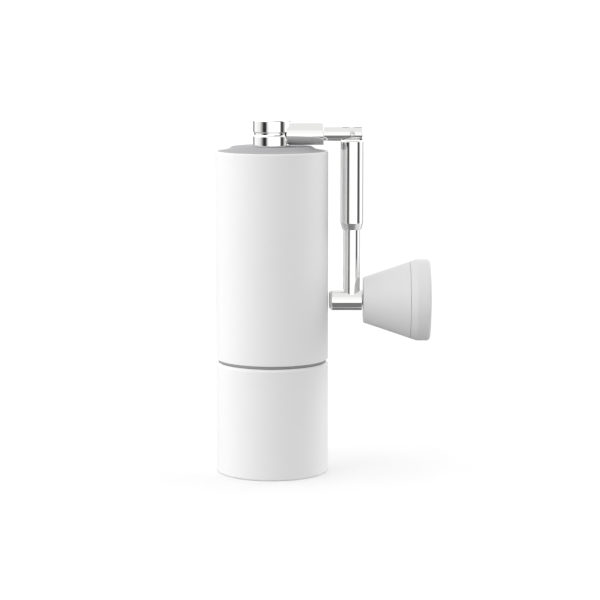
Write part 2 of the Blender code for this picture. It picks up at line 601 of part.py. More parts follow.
AXLE_START = SPINDLE_START + 3.65
AXLE_END = 54.9
AXLE_HOLE = (1.4, 47.0)
turned("knob_spindle", [(0, SPINDLE_START), (3.1, SPINDLE_START), (3.9, SPINDLE_START + 0.5),
                        (SPINDLE_R, SPINDLE_START + 1.2), (SPINDLE_R, SPINDLE_END - 0.2),
                        (SPINDLE_R - 0.2, SPINDLE_END), (AXLE_R + CLEAR, SPINDLE_END),
                        (AXLE_R + CLEAR, AXLE_START - CLEAR), (0, AXLE_START - CLEAR)],
       CHROME, LOWER_ARM, SIDES_MID, ALONG_KNOB)
turned("knob_axle", [(0, AXLE_START), (AXLE_R, AXLE_START), (AXLE_R, AXLE_END), (AXLE_HOLE[0], AXLE_END),
                     (AXLE_HOLE[0], AXLE_HOLE[1]), (0, AXLE_HOLE[1])],
       STEEL, LOWER_ARM, SIDES_SMALL, ALONG_KNOB)
washer_end = AXLE_END + CLEAR + 0.6
washer("knob_washer", AXLE_HOLE[0] + 0.05, 4.2, AXLE_END + CLEAR, washer_end, STEEL, LOWER_ARM, SIDES_SMALL,
       ALONG_KNOB)
head = washer_end + CLEAR
turned("knob_screw", [(0, AXLE_HOLE[1] + 0.4), (1.05, AXLE_HOLE[1] + 0.4), (1.05, head), (3.4, head),
                      (3.4, head + 1.5), (2.9, head + 2), (1.3, head + 2), (1.3, head + 0.9),
                      (0, head + 0.9)],
       STEEL, LOWER_ARM, SIDES_SMALL, ALONG_KNOB)

# ---- lock sleeve: slides on the lower arm, with a friction ring inside -------------------
RING_LOW = 34.0
RING_GROOVE_R = 4.35
sleeve_outline = [(SLEEVE_R, SLEEVE_TOP + 0.15), (SLEEVE_R, SLEEVE_CONE), (3.95, SLEEVE_END),
                  (SLEEVE_BORE, SLEEVE_END), (SLEEVE_BORE, RING_LOW + 1.5), (RING_GROOVE_R, RING_LOW + 1.4),
                  (RING_GROOVE_R, RING_LOW), (SLEEVE_BORE, RING_LOW - 0.1), (SLEEVE_BORE, SLEEVE_TOP + 1.1),
                  (SLEEVE_R - 0.2, SLEEVE_TOP)]
turned("lock_sleeve", sleeve_outline, CHROME, SLEEVE, SIDES_MID, DOWN_ARM)
washer("sleeve_ring", SLEEVE_BORE + 0.03, RING_GROOVE_R - CLEAR, RING_LOW + 0.3, RING_LOW + 1.1, SILICONE,
       SLEEVE, SIDES_MID, DOWN_ARM)

# ---- knob: a cone with a bushed bore, closed by an end cap --------------------------------
SLOPE = (KNOB_BIG_R - KNOB_SMALL_R) / (KNOB_CONE_END - KNOB_START)
WALL = 2.2
SLEEVE_HUB_R = 6.4
HUB_FLOOR = 41.6
HUB_END = 54.4


def cone_r(x):
    """Radius of the knob's cone at a distance from the barrel's axis."""
    return KNOB_SMALL_R + SLOPE * (x - KNOB_START)


body_end = KNOB_SPLIT - CLEAR / 2
turned("knob_body", [(KNOB_BORE, KNOB_START), (KNOB_SMALL_R - 0.5, KNOB_START), (cone_r(38.3), 38.3),
                     (cone_r(body_end), body_end), (cone_r(body_end) - WALL, body_end),
                     (cone_r(43) - WALL, 43), (SLEEVE_HUB_R + 1.2, HUB_FLOOR), (SLEEVE_HUB_R, HUB_FLOOR),
                     (SLEEVE_HUB_R, HUB_END), (KNOB_BORE, HUB_END)],
       WHITE_PLASTIC, KNOB, SIDES_BIG, ALONG_KNOB)

cap_start = KNOB_SPLIT + CLEAR / 2
LIP_R = (11.2, 12.4)
LIP_START = 55.0
turned("knob_cap", [(0, KNOB_END), (12.0, KNOB_END - 0.05), (15.6, KNOB_END - 0.3), (16.5, KNOB_END - 0.8),
                    (KNOB_BIG_R, KNOB_END - 1.6), (KNOB_BIG_R, KNOB_CONE_END + 0.2),
                    (cone_r(KNOB_CONE_END - 0.3), KNOB_CONE_END - 0.3), (cone_r(cap_start), cap_start),
                    (LIP_R[1], cap_start), (LIP_R[1], LIP_START), (LIP_R[0], LIP_START), (LIP_R[0], 58.0),
                    (13.0, 59.4), (13.6, 62.6), (12.4, 63.8), (0, 63.9)],
       WHITE_PLASTIC, KNOB, SIDES_BIG, ALONG_KNOB)
for word, start in (("inner", KNOB_START + CLEAR), ("outer", 49.6)):
    washer("knob_bush_" + word, AXLE_R + 0.35, KNOB_BORE - CLEAR, start, start + 4.5, BUSH_PLASTIC, KNOB,
           SIDES_SMALL, ALONG_KNOB)
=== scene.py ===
import math
import bmesh
import bpy
from mathutils import Matrix, Vector


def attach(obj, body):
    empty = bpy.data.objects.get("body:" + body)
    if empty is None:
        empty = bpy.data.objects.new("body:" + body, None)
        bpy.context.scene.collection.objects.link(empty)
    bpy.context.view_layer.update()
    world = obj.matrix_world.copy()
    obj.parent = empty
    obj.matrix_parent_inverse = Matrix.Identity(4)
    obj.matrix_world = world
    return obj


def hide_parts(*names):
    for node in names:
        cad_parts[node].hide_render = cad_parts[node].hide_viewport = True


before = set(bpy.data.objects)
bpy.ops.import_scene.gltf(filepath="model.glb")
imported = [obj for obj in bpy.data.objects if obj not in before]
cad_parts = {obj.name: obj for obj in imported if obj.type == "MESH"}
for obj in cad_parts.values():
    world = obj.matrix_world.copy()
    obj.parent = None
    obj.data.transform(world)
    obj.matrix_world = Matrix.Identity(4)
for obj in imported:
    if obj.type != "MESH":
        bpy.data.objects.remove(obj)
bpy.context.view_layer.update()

# ---- Grounds cup ------------------------------------------------------------------
# A deep-drawn aluminium cup, bored and threaded inside at the top, then powder coated
# white outside. It is what the grinder stands on, and it catches the ground coffee.
MM = 0.001
TAU = 2 * math.pi


def eased(corners, steps=5):
    """Points of an outline whose corners are rounded. A corner is (radius, height, round)."""
    points = []
    for i, (r, h, size) in enumerate(corners):
        here = Vector((r, h))
        if not size:
            points.append(here)
            continue
        before = (Vector(corners[i - 1][:2]) - here).normalized()
        after = (Vector(corners[(i + 1) % len(corners)][:2]) - here).normalized()
        half = before.angle(after) / 2
        centre = here + (before + after).normalized() * size / math.sin(half)
        first = here + before * size / math.tan(half) - centre
        last = here + after * size / math.tan(half) - centre
        for k in range(steps + 1):
            points.append(centre + first.slerp(last, k / steps).normalized() * size)
    return points


def piece_from(name, bm, *materials):
    """Weld a shape, point its faces out, and link it as a smooth-shaded object."""
    bmesh.ops.remove_doubles(bm, verts=bm.verts, dist=1e-7)
    bmesh.ops.recalc_face_normals(bm, faces=bm.faces)
    mesh = bpy.data.meshes.new(name)
    bm.to_mesh(mesh)
    bm.free()
    mesh.shade_smooth()
    mesh.set_sharp_from_angle(angle=math.radians(40))
    for material in materials:
        mesh.materials.append(material)
    made = bpy.data.objects.new(name, mesh)
    bpy.context.scene.collection.objects.link(made)
    weighted = made.modifiers.new("weighted normals", "WEIGHTED_NORMAL")
    weighted.keep_sharp = True
    weighted.weight = 90
    return made


def joined_to(piece, body, slot, *nodes):
    """Say which body a piece moves with, and hide the frame's parts that it stands for. The slot is not
    used.
    """
    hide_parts(*nodes)
    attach(piece, body)


def lathe(outline, sides=128, matrix=None):
    """Spin an outline of (radius, height) in millimetres about the Z axis.

    An outline that leaves the axis at either end is closed on itself."""
    bm = bmesh.new()
    points = [bm.verts.new((r * MM, 0, h * MM)) for r, h in outline]
    edges = [bm.edges.new(pair) for pair in zip(points, points[1:])]
    if outline[0][0] > 0 or outline[-1][0] > 0:
        edges.append(bm.edges.new((points[-1], points[0])))
    bmesh.ops.spin(bm, geom=points + edges, cent=(0, 0, 0), axis=(0, 0, 1), angle=TAU,
                   steps=sides, use_merge=True)
    if matrix is not None:
        bm.transform(matrix)
    return bm


class Wire:
    """An output in a material's nodes. Arithmetic on wires adds the Math nodes it needs."""

    def __init__(self, tree, socket=None):
        self.tree = tree
        self.socket = socket

    def feed(self, target, value):
        if isinstance(value, Wire):
            self.tree.links.new(value.socket, target)
        else:
            target.default_value = value

    def node(self, kind, settings=None, sockets=None, out=0):
        made = self.tree.nodes.new(kind)
        for key, value in (settings or {}).items():
            if key == "stops":
                ramp = made.color_ramp.elements
                while len(ramp) < len(value):
                    ramp.new(0.5)
                for stop, (position, colour) in zip(ramp, value):
                    stop.position = position
                    stop.color = (*colour, 1.0)
            else:
                setattr(made, key, value)
        for key, value in (sockets or {}).items():
            self.feed(made.inputs[key], value)
        return Wire(self.tree, made.outputs[out])

    def maths(self, operation, first, second=0.0):
        return self.node("ShaderNodeMath", {"operation": operation}, {0: first, 1: second})

    def __add__(self, other):
        return self.maths("ADD", self, other)

    def __radd__(self, other):
        return self.maths("ADD", other, self)

    def __sub__(self, other):
        return self.maths("SUBTRACT", self, other)

    def __rsub__(self, other):
        return self.maths("SUBTRACT", other, self)

    def __mul__(self, other):
        return self.maths("MULTIPLY", self, other)

    def __rmul__(self, other):
        return self.maths("MULTIPLY", other, self)

    def __truediv__(self, other):
        return self.maths("DIVIDE", self, other)

    def __pow__(self, other):
        return self.maths("POWER", self, other)


class Finish:
    """A Principled material whose looks are built from wires."""

    def __init__(self, name, **constants):
        self.material = bpy.data.materials.new(name)
        self.material.use_nodes = True
        tree = self.material.node_tree
        self.shader = tree.nodes["Principled BSDF"]
        self.start = Wire(tree)
        for key, value in constants.items():
            self.shader.inputs[key.replace("_", " ")].default_value = value

    def place(self, stretch=(1, 1, 1)):
        """Where a point is on the piece, in metres times the stretch of each axis."""
        where = self.start.node("ShaderNodeTexCoord", out="Object")
        return self.start.node("ShaderNodeVectorMath", {"operation": "MULTIPLY"}, {0: where, 1: stretch})

    def noise(self, where, scale, detail=2.0, roughness=0.5):
        sockets = {"Vector": where, "Scale": scale, "Detail": detail, "Roughness": roughness}
        return self.start.node("ShaderNodeTexNoise", sockets=sockets)

    def blend(self, factor, low, high):
        """Mix two colours by a wire from 0 to 1."""
        sockets = {"Factor": factor, 6: (*low, 1.0), 7: (*high, 1.0)}
        return self.start.node("ShaderNodeMix", {"data_type": "RGBA"}, sockets, out=2)

    def set(self, **wires):
        for key, wire in wires.items():
            self.start.feed(self.shader.inputs[key.replace("_", " ")], wire)

    def bump(self, height, strength, distance):
        sockets = {"Height": height, "Strength": strength, "Distance": distance}
        self.set(Normal=self.start.node("ShaderNodeBump", sockets=sockets))


def powder_coat():
    """White powder coat: a fine even orange peel with a trace of speckle in its colour."""
    coat = Finish("white_powder_coat", Metallic=0.0, Specular_IOR_Level=0.4)
    where = coat.place()
    grain = coat.noise(where, 4200.0, 3.0, 0.6)
    peel = coat.noise(where, 900.0, 2.0)
    cloud = coat.noise(where, 30.0)
    coat.set(Base_Color=coat.blend(grain * 0.6 + cloud * 0.4, (0.80, 0.80, 0.80), (0.89, 0.89, 0.89)))
    coat.set(Roughness=0.46 + grain * 0.14 + cloud * 0.05)
    coat.bump(grain * 0.7 + peel * 0.3, 0.35, 0.00006)
    return coat.material


def turned_aluminium():
    """Bare anodised aluminium with the fine rings that a lathe tool leaves."""
    metal = Finish("turned_aluminium", Metallic=0.9)
    rings = metal.noise(metal.place((60, 60, 5200)), 1.0, 3.0)
    haze = metal.noise(metal.place(), 160.0)
    metal.set(Base_Color=metal.blend(haze, (0.55, 0.56, 0.57), (0.66, 0.66, 0.67)))
    metal.set(Roughness=0.26 + rings * 0.12 + haze * 0.1)
    metal.bump(rings, 0.3, 0.00004)
    return metal.material


white_coat = powder_coat()
bare_aluminium = turned_aluminium()

BODY_R = 23.25
CUP_TOP = 46.15
CUP_BORE = 21.4
CUP_ROOT = 22.05
CUP_FLOOR = 3.3
PAD_SEAT = 1.7
FOOT = 0.12
THREAD_LOW = 36.2
THREAD_PITCH = 2.4
THREAD_DEPTH = 0.38


def threaded(bm, root, depth, low, high, start=0.0):
    """Raise a helical thread on the bore or neck faces that lie near the root radius."""
    for vert in bm.verts:
        radius = math.hypot(vert.co.x, vert.co.y) / MM
        height = vert.co.z / MM
        if abs(radius - root) > 0.02 or not low <= height <= high:
            continue
        turn = math.atan2(vert.co.y, vert.co.x) / TAU + start
        phase = ((height - low) / THREAD_PITCH - turn) % 1.0
        crest = max(0.0, min(1.0, 2.2 - 5.0 * abs(phase - 0.5)))
        ends = min(1.0, (height - low) / 0.9, (high - height) / 0.9)
        scale = 1 + depth * crest * max(0.0, ends) / radius
        vert.co.x *= scale
        vert.co.y *= scale


def steps_between(radius, low, high, pitch=0.16):
    """Closely spaced points up a straight wall, for a thread to be cut in."""
    count = round(abs(high - low) / pitch)
    return [(radius, low + (high - low) * i / count) for i in range(count + 1)]


outside = eased([(0, PAD_SEAT, 0), (21.75, PAD_SEAT, 0.2), (21.75, FOOT, 0.1), (BODY_R, FOOT, 0.45),
                 (BODY_R, CUP_TOP - 0.9, 0.25), (22.5, CUP_TOP, 0.15), (CUP_ROOT, CUP_TOP, 0.1)])
inside = steps_between(CUP_ROOT, CUP_TOP - 0.4, THREAD_LOW)
inside += eased([(CUP_ROOT, THREAD_LOW - 0.2, 0), (CUP_BORE, THREAD_LOW - 1, 0.3),
                 (CUP_BORE, CUP_FLOOR, 2.6), (0, CUP_FLOOR, 0)], 8)
cup_shape = lathe(outside + inside)
threaded(cup_shape, CUP_ROOT, -THREAD_DEPTH, THREAD_LOW + 0.2, CUP_TOP - 0.8)
for face in cup_shape.faces:
    middle = face.calc_center_median() / MM
    within = math.hypot(middle.x, middle.y) < CUP_ROOT + 0.15 and middle.z > (PAD_SEAT + CUP_FLOOR) / 2
    face.material_index = 1 if within else 0
cup = piece_from("cup_coated", cup_shape, white_coat, bare_aluminium)
joined_to(cup, "cup", "white_coat", "grounds_cup")

# ---- Base pad ---------------------------------------------------------------------
# A grey silicone disc pressed into the underside of the cup, with shallow ribs moulded
# in its sole so that the grinder does not slide on a worktop.
def silicone(name, dark, light):
    """Soft rubber with a matt skin and a faint bloom."""
    rubber = Finish(name, Metallic=0.0, Specular_IOR_Level=0.35)
    where = rubber.place()
    grain = rubber.noise(where, 2600.0, 3.0)
    bloom = rubber.noise(where, 90.0)
    rubber.set(Base_Color=rubber.blend(bloom * 0.7 + grain * 0.3, dark, light))
    rubber.set(Roughness=0.6 + grain * 0.2)
    rubber.bump(grain, 0.3, 0.00005)
    return rubber.material


pad_silicone = silicone("pad_silicone", (0.42, 0.42, 0.43), (0.52, 0.52, 0.53))
PAD_R = 21.45
PAD_TOP = 1.5
VALLEY = 0.35
pad_outline = [(0, VALLEY, 0)]
for rib in range(7):
    inner = 4.0 + rib * 2.4
    pad_outline += [(inner, VALLEY, 0.1), (inner + 0.25, 0.0, 0.1), (inner + 1.0, 0.0, 0.1),
                    (inner + 1.25, VALLEY, 0.1)]
pad_outline += [(PAD_R - 0.8, VALLEY, 0.1), (PAD_R - 0.5, 0.05, 0.1), (PAD_R, 0.05, 0.2),
                (PAD_R, PAD_TOP, 0.1), (0, PAD_TOP, 0)]
pad = piece_from("sole_pad", lathe(eased(pad_outline, 2)), pad_silicone)
joined_to(pad, "cup", "silicone", "base_pad")

# ---- Seal ring --------------------------------------------------------------------
# A soft grey ring in the groove between cup and barrel. It stops the cup from biting
# into the barrel's edge and keeps fine grounds in. Its grey is partly painted shade:
# it is darker than the other silicone parts so that the groove looks shaded.
seal_silicone_and_groove_shade = silicone("seal_silicone_and_groove_shade", (0.30, 0.30, 0.31), (0.38, 0.38, 0.39))
SEAL_LOW = CUP_TOP + 0.1
SEAL_HIGH = CUP_TOP + 1.2
seal_outline = eased([(21.3, SEAL_LOW, 0), (22.3, SEAL_LOW, 0.2), (22.42, CUP_TOP + 0.65, 0.2),
                      (22.3, SEAL_HIGH, 0.2), (21.3, SEAL_HIGH, 0)], 3)
seal = piece_from("groove_ring", lathe(seal_outline), seal_silicone_and_groove_shade)
joined_to(seal, "barrel", "silicone", "neck_seal")

# ---- Threaded neck ------------------------------------------------------------------
# A moulded collar pressed into the foot of the barrel. It screws into the cup, funnels
# the beans down to the burrs, and the outer burr sits in it from below.
def moulded(name, dark, light, rough=0.42):
    """Moulded plastic with a finely spark-eroded skin and faint flow marks."""
    plastic = Finish(name, Metallic=0.0, Specular_IOR_Level=0.45)
    where = plastic.place()
    spark = plastic.noise(where, 3400.0, 2.0)
    flow = plastic.noise(where, 55.0, 3.0)
    plastic.set(Base_Color=plastic.blend(flow * 0.7 + spark * 0.3, dark, light))
    plastic.set(Roughness=rough + spark * 0.12 + flow * 0.06)
    plastic.bump(spark, 0.25, 0.00004)
    return plastic.material


def carved(piece, *cutters):
    """Cut shapes out of a piece. The cutters are removed afterwards."""
    for number, bm in enumerate(cutters, 1):
        mesh = bpy.data.meshes.new("%s_cutter_%d" % (piece.name, number))
        bmesh.ops.remove_doubles(bm, verts=bm.verts, dist=1e-7)
        bmesh.ops.recalc_face_normals(bm, faces=bm.faces)
        bm.to_mesh(mesh)
        bm.free()
        tool = bpy.data.objects.new(mesh.name, mesh)
        bpy.context.scene.collection.objects.link(tool)
        boolean = piece.modifiers.new("cut %d" % number, "BOOLEAN")
        boolean.object = tool
        boolean.solver = "EXACT"
        with bpy.context.temp_override(object=piece):
            bpy.ops.object.modifier_move_to_index(modifier=boolean.name, index=0)
            bpy.ops.object.modifier_apply(modifier=boolean.name)
        bpy.data.objects.remove(tool, do_unlink=True)
    return piece


def pegs(count, circle, radius, low, high, start=0.0, sides=32):
    """Upright rods evenly spaced on a circle."""
    bm = bmesh.new()
    for k in range(count):
        angle = start + TAU * k / count
        move = Vector((circle * math.cos(angle), circle * math.sin(angle), (low + high) / 2)) * MM
        bmesh.ops.create_cone(bm, cap_ends=True, segments=sides, radius1=radius * MM, radius2=radius * MM,
                              depth=(high - low) * MM, matrix=Matrix.Translation(move))
    return bm


collar_grey = moulded("collar_grey", (0.46, 0.46, 0.47), (0.54, 0.54, 0.55), 0.45)
NECK_LOW = 38.0
NECK_TOP = 59.2
NECK_ROOT = 20.9
NECK_R = 21.2
BURR_SEAT_R = 17.75
BURR_SEAT_TOP = 52.0
SCREW_CIRCLE = 19.35
neck_outline = [(BURR_SEAT_R, NECK_LOW), (NECK_ROOT - 0.4, NECK_LOW), (NECK_ROOT, NECK_LOW + 0.4)]
neck_outline += steps_between(NECK_ROOT, NECK_LOW + 0.6, 45.9)
neck_outline += eased([(NECK_ROOT, 46.1, 0), (NECK_R, 47.4, 0), (NECK_R, NECK_TOP, 0.2),
                       (19.2, NECK_TOP, 0.3), (14.6, 54.2, 0.8), (14.6, BURR_SEAT_TOP, 0.1),
                       (BURR_SEAT_R, BURR_SEAT_TOP, 0.1)])
neck_shape = lathe(neck_outline)
threaded(neck_shape, NECK_ROOT, THREAD_DEPTH, NECK_LOW + 1.0, 45.6, 0.5)
neck = piece_from("screw_collar", neck_shape, collar_grey)
carved(neck, pegs(3, SCREW_CIRCLE, 1.0, NECK_LOW - 1, 44.6, TAU / 4))
joined_to(neck, "barrel", "inner_plastic", "threaded_neck")

# ---- Outer burr ---------------------------------------------------------------------
# A hardened steel ring whose bore is a cone of leaning saw teeth, coarse where the beans
# come in and running out to a fine land at the foot.
def brushed_steel(name, tone=0.62, rough=0.24):
    """Steel with the fine rings of turning or grinding and a slight haze."""
    metal = Finish(name, Metallic=1.0)
    stroke = metal.noise(metal.place((90, 90, 7000)), 1.0, 3.0)
    haze = metal.noise(metal.place(), 210.0)
    metal.set(Base_Color=metal.blend(haze, [tone * 0.9] * 3, [tone * 1.05] * 3))
    metal.set(Roughness=rough + stroke * 0.14 + haze * 0.06)
    metal.bump(stroke, 0.25, 0.00003)
    return metal.material


def skinned(loops, hollow=False):
    """Skin a stack of loops of points in millimetres. A hollow one closes on itself."""
    bm = bmesh.new()
    rows = [[bm.verts.new(Vector(point) * MM) for point in loop] for loop in loops]
    pairs = list(zip(rows, rows[1:]))
    if hollow:
        pairs.append((rows[-1], rows[0]))
    else:
        bm.faces.new(rows[0])
        bm.faces.new(rows[-1])
    for low, high in pairs:
        for i in range(len(low)):
            j = (i + 1) % len(low)
            bm.faces.new((low[i], low[j], high[j], high[i]))
    return bm


def loop_at(height, radius, sides):
    """A loop of points at one height. The radius is a number or a function of the angle."""
    angles = [TAU * i / sides for i in range(sides)]
    radii = [radius(a) if callable(radius) else radius for a in angles]
    return [(r * math.cos(a), r * math.sin(a), height) for r, a in zip(radii, angles)]


def saw(turns, crest=0.8):
    """A saw tooth from 0 to 1: a long land that climbs to an edge, then a short drop."""
    part = turns % 1.0
    return part / crest if part < crest else (1 - part) / (1 - crest)


def toothed(cone, low, high, coarse, fine, lean, sides, levels=26):
    """Loops up a cone of teeth. coarse and fine are (number of teeth, depth)."""
    loops = []
    for k in range(levels):
        rise = k / (levels - 1)
        change = min(1.0, max(0.0, (0.45 - rise) / 0.15))

        def radius(angle, rise=rise, change=change):
            turn = (angle - lean * rise) / TAU
            big = coarse[1] * saw(turn * coarse[0]) * (1 - 0.6 * change)
            small = fine[1] * saw(turn * fine[0]) * change
            return cone[0] + (cone[1] - cone[0]) * rise + big + small
        loops.append(loop_at(low + (high - low) * rise, radius, sides))
    return loops


burr_steel = brushed_steel("burr_steel", 0.5, 0.2)
OUTER_LOW = 38.1
OUTER_HIGH = 51.7
outer_loops = toothed((15.65, 10.05), OUTER_LOW, OUTER_HIGH, (16, 0.65), (48, 0.25), -0.5, 384)
for r, z in ((16.9, OUTER_HIGH), (17.4, OUTER_HIGH - 0.5), (17.4, OUTER_LOW + 0.3), (17.1, OUTER_LOW)):
    outer_loops.append(loop_at(z, r, 384))
outer_burr = piece_from("ring_burr", skinned(outer_loops, True), burr_steel)
joined_to(outer_burr, "barrel", "burr_steel", "outer_burr")

# ---- Burr clamp ring and its screws -------------------------------------------------
# A flat steel ring holds the outer burr up in its seat. Three small pan head screws with
# cross recesses run through it into the collar.
plain_steel = brushed_steel("plain_steel")
screw_steel = brushed_steel("screw_steel", 0.55, 0.18)
CLAMP_LOW = 36.6
CLAMP_HIGH = 37.7
ring_outline = eased([(16.0, CLAMP_LOW, 0.2), (20.6, CLAMP_LOW, 0.2), (20.6, CLAMP_HIGH, 0.1),
                      (16.0, CLAMP_HIGH, 0.1)], 3)
clamp_ring = piece_from("clamp_ring", lathe(ring_outline), plain_steel)
carved(clamp_ring, pegs(3, SCREW_CIRCLE, 1.0, CLAMP_LOW - 1, CLAMP_HIGH + 1, TAU / 4))
joined_to(clamp_ring, "barrel", "steel", "burr_clamp_ring")
SCREW_LOW = 35.2


def bar(low, high):
    """A plain block between two corners in millimetres."""
    bm = bmesh.new()
    size = Vector(high) - Vector(low)
    middle = (Vector(high) + Vector(low)) / 2
    bmesh.ops.create_cube(bm, size=1.0)
    bm.transform(Matrix.Translation(middle * MM) @ Matrix.Diagonal((*(size * MM), 1.0)))
    return bm


for number in range(1, 4):
    angle = TAU / 4 + TAU * (number - 1) / 3
    x, y = SCREW_CIRCLE * math.cos(angle), SCREW_CIRCLE * math.sin(angle)
    screw_outline = [(0, SCREW_LOW)] + eased([(1.6, SCREW_LOW, 0.6), (1.6, CLAMP_LOW - 0.1, 0.1),
                                              (0.85, CLAMP_LOW - 0.1, 0)], 6)
    screw_outline += [(r, CLAMP_LOW + 0.5 * k) for k in range(13) for r in (0.85, 0.7)]
    screw_outline.append((0, CLAMP_LOW + 6.3))
    screw_shape = lathe(screw_outline, 32, Matrix.Translation((x * MM, y * MM, 0)))
    screw = piece_from("pan_screw_%d" % number, screw_shape, screw_steel)
    carved(screw, bar((x - 0.95, y - 0.17, SCREW_LOW - 1), (x + 0.95, y + 0.17, SCREW_LOW + 0.55)),
           bar((x - 0.17, y - 0.95, SCREW_LOW - 1), (x + 0.17, y + 0.95, SCREW_LOW + 0.55)))
    joined_to(screw, "barrel", "steel", "burr_screw_%d" % number)

# ---- Bearing carriers and bearings --------------------------------------------------
# Two moulded spiders are stacked in the barrel. Each has three arms for the beans to fall
# past, and a pocket for a small ball bearing that keeps the shaft true.
CARRIERS = (("lower", 59.6, 67.2), ("upper", 105.7, 112.7))
BEARING_SINK = 1.6
BEARING_HEIGHT = 5.0
ARM_HALF = 1.7
BALL_CIRCLE = 5.05
BALL_R = 0.73
BALLS = 7
for which, low, high in CARRIERS:
    floor_z = low + BEARING_SINK - 0.1
    spider_outline = eased([(5.4, low, 0.3), (NECK_R, low, 0.2), (NECK_R, high, 0.2), (6.6, high, 0.4),
                            (6.6, floor_z, 0.1), (5.4, floor_z, 0.1)], 3)
    spider = piece_from(which + "_spider", lathe(spider_outline), collar_grey)
    for k in range(3):
        middle = math.pi / 6 + k * TAU / 3
        walls = []
        for radius in (9.0, 18.8):
            half = TAU / 6 - math.asin(ARM_HALF / radius)
            angles = [middle - half + half * i / 12 for i in range(25)]
            walls.append([(radius * math.cos(a), radius * math.sin(a)) for a in angles])
        window = walls[0] + walls[1][::-1]
        carved(spider, skinned([[(x, y, z) for x, y in window] for z in (low - 2, high + 2)]))
    joined_to(spider, "barrel", "inner_plastic", which + "_carrier")
    foot = low + BEARING_SINK
    top = foot + BEARING_HEIGHT
    for part, inner, outer, body in (("outer", 5.8, 6.5, "barrel"), ("inner", 3.15, 4.3, "drive")):
        race_outline = eased([(inner, foot, 0.1), (outer, foot, 0.25), (outer, top, 0.25),
                              (inner, top, 0.1)], 3)
        race = piece_from("%s_race_%s" % (which, part), lathe(race_outline, 96), screw_steel)
        joined_to(race, body, "steel", "%s_bearing_%s_race" % (which, part))
    middle = foot + BEARING_HEIGHT / 2
    balls = bmesh.new()
    for k in range(BALLS):
        angle = TAU * k / BALLS
        spot = Vector((BALL_CIRCLE * math.cos(angle), BALL_CIRCLE * math.sin(angle), middle)) * MM
        bmesh.ops.create_uvsphere(balls, u_segments=24, v_segments=16, radius=BALL_R * MM,
                                  matrix=Matrix.Translation(spot))
    ball_set = piece_from(which + "_balls", balls, screw_steel)
    joined_to(ball_set, "barrel", "steel", which + "_bearing_balls")

# ---- Hopper liners ------------------------------------------------------------------
# Two lengths of thin tube space the spiders apart and line the barrel, turned smooth so
# that beans and chaff do not cling.
liner_metal = brushed_steel("liner_metal", 0.6, 0.28)
for which, low, high in (("lower", 67.4, 105.5), ("upper", 112.9, 129.4)):
    liner_outline = eased([(19.95, low, 0.2), (NECK_R, low, 0.1), (NECK_R, high, 0.2),
                           (19.95, high, 0.4)], 3)
    liner = piece_from(which + "_lining", lathe(liner_outline), liner_metal)
    joined_to(liner, "barrel", "inner_plastic", which + "_liner")

# ---- Drive shaft --------------------------------------------------------------------
# A ground steel shaft. It has a hexagon for the crank at the top, a collar between the two
# bearings, a hexagon for the inner burr, and a thread for the adjusting dial at its foot.
SHAFT_R = 3.0
SHAFT_TOP = 141.8


def six_sided(half):
    """Radius of a hexagon with softened corners, from half its width across the flats."""
    def radius(angle):
        off = (angle + TAU / 12) % (TAU / 6) - TAU / 12
        return min(half / math.cos(off), half * 1.12)
    return radius


def screwed(z):
    """Radius round the shaft's thread at one height."""
    return lambda angle: SHAFT_R - 0.28 * saw((z - SCREW_START) / 0.8 - angle / TAU, 0.5)


SCREW_START = 28.5
shaft_levels = [(1.0, 26.2), (SHAFT_R - 0.4, 26.25), (SHAFT_R - 0.1, 26.6), (SHAFT_R, 26.8), (SHAFT_R, 28.4)]
shaft_levels += [(screwed(SCREW_START + 0.08 * k), SCREW_START + 0.08 * k) for k in range(100)]
shaft_levels += [(2.95, 36.5), (six_sided(2.8), 36.8), (six_sided(2.8), 58.6), (SHAFT_R, 59.1),
                 (SHAFT_R, 66.4), (4.0, 66.45), (4.1, 66.6), (4.1, 68.4), (4.0, 68.6), (3.6, 69.0),
                 (3.6, 105.9), (4.0, 106.4), (4.1, 106.5), (4.1, 106.9), (4.0, 107.0), (SHAFT_R, 107.05),
                 (SHAFT_R, 129.6), (six_sided(2.5), 130.2), (six_sided(2.5), SHAFT_TOP - 0.5),
                 (six_sided(2.1), SHAFT_TOP)]
shaft = piece_from("ground_shaft", skinned([loop_at(z, r, 72) for r, z in shaft_levels]), plain_steel)
joined_to(shaft, "drive", "steel", "drive_shaft")

# ---- Clips, washers and springs -----------------------------------------------------
# Open spring clips snap round the shaft above the upper bearing and at its foot, and round
# the crank's hub under the lid. A coil spring under a washer presses the inner burr down.
spring_steel = brushed_steel("spring_steel", 0.42, 0.26)


def open_ring(inner, outer, low, high, gap=0.5, steps=60):
    """A flat clip: a ring with a gap."""
    angles = [gap + (TAU - 2 * gap) * i / steps for i in range(steps + 1)]
    rim = [(outer * math.cos(a), outer * math.sin(a)) for a in angles]
    bore = [(inner * math.cos(a), inner * math.sin(a)) for a in reversed(angles)]
    return skinned([[(x, y, z) for x, y in rim + bore] for z in (low, high)])


for name, node, body, inner, outer, low in (("upper_snap_clip", "shaft_clip", "drive", 3.05, 4.6, 112.5),
                                            ("foot_snap_clip", "shaft_end_ring", "drive", 3.05, 4.4, 26.9),
                                            ("hub_snap_clip", "hub_clip", "crank", 5.05, 7.0, 131.85)):
    clip = piece_from(name, open_ring(inner, outer, low, low + 0.8), spring_steel)
    edge = clip.modifiers.new("worn edge", "BEVEL")
    edge.width = 0.1 * MM
    edge.segments = 2
    joined_to(clip, body, "steel", node)
seat_outline = eased([(3.1, 59.7, 0.1), (5.1, 59.7, 0.15), (5.1, 60.2, 0.15), (3.1, 60.2, 0.1)], 3)
seat_washer = piece_from("spring_seat", lathe(seat_outline, 64), plain_steel)
joined_to(seat_washer, "drive", "steel", "spring_washer")

